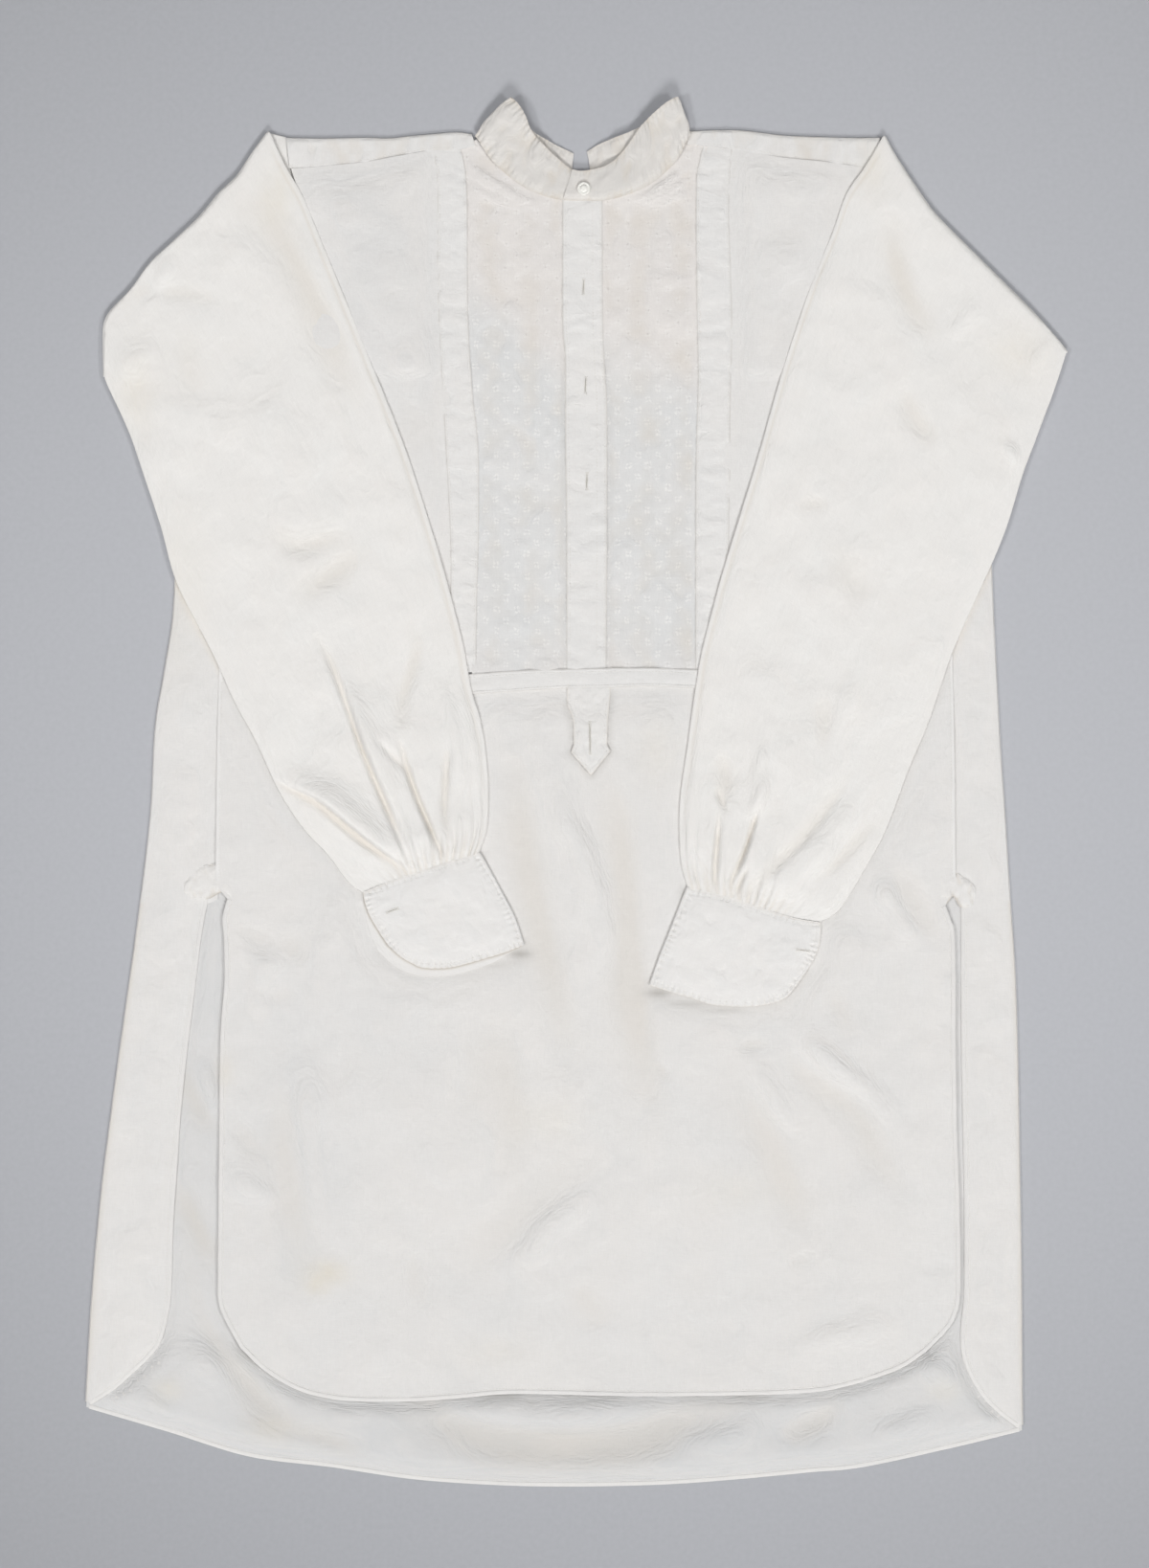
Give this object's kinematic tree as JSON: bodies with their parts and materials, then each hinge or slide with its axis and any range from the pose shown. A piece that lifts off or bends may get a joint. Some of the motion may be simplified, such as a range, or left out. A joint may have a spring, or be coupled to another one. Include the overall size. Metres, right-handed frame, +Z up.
{
  "type": "tunic shirt laid flat",
  "caption": "Long pull-on tunic shirt laid flat, full gathered sleeves folded over the front, sheer bosom, neckband and rounded tails.",
  "frame": {"origin": "under the middle of the laid out shirt, on the surface that it lies on", "axes": "+Y runs from the hem to the collar, +X to the viewer's right, +Z up out of the surface"},
  "size_m": [0.7385, 1.0428, 0.0123],
  "materials": {
    "body_cotton": "white cotton with a fine lengthwise cord, softly creased, matt",
    "sleeve_cotton": "slightly creamier white cotton, softly crumpled, matt",
    "band_cotton": "white cotton in several layers, pressed, edge stitched",
    "bosom_voile": "semi-sheer white voile with small woven sprigs",
    "pearl": "smooth domed pearl button"
  },
  "bodies": {
    "root": {"back": "body_cotton", "yoke": "body_cotton", "front": "body_cotton", "gusset_left": "body_cotton", "gusset_right": "body_cotton", "band_left": "band_cotton", "band_right": "band_cotton", "placket": "band_cotton", "waist_band": "band_cotton", "tab": "band_cotton", "bosom_left": "bosom_voile", "bosom_right": "bosom_voile", "collar_left": "band_cotton", "collar_right": "band_cotton", "collar_button": "pearl", "sleeve_left": "sleeve_cotton", "sleeve_right": "sleeve_cotton", "cuff_left": "sleeve_cotton", "cuff_right": "sleeve_cotton"}
  },
  "joints": []
}
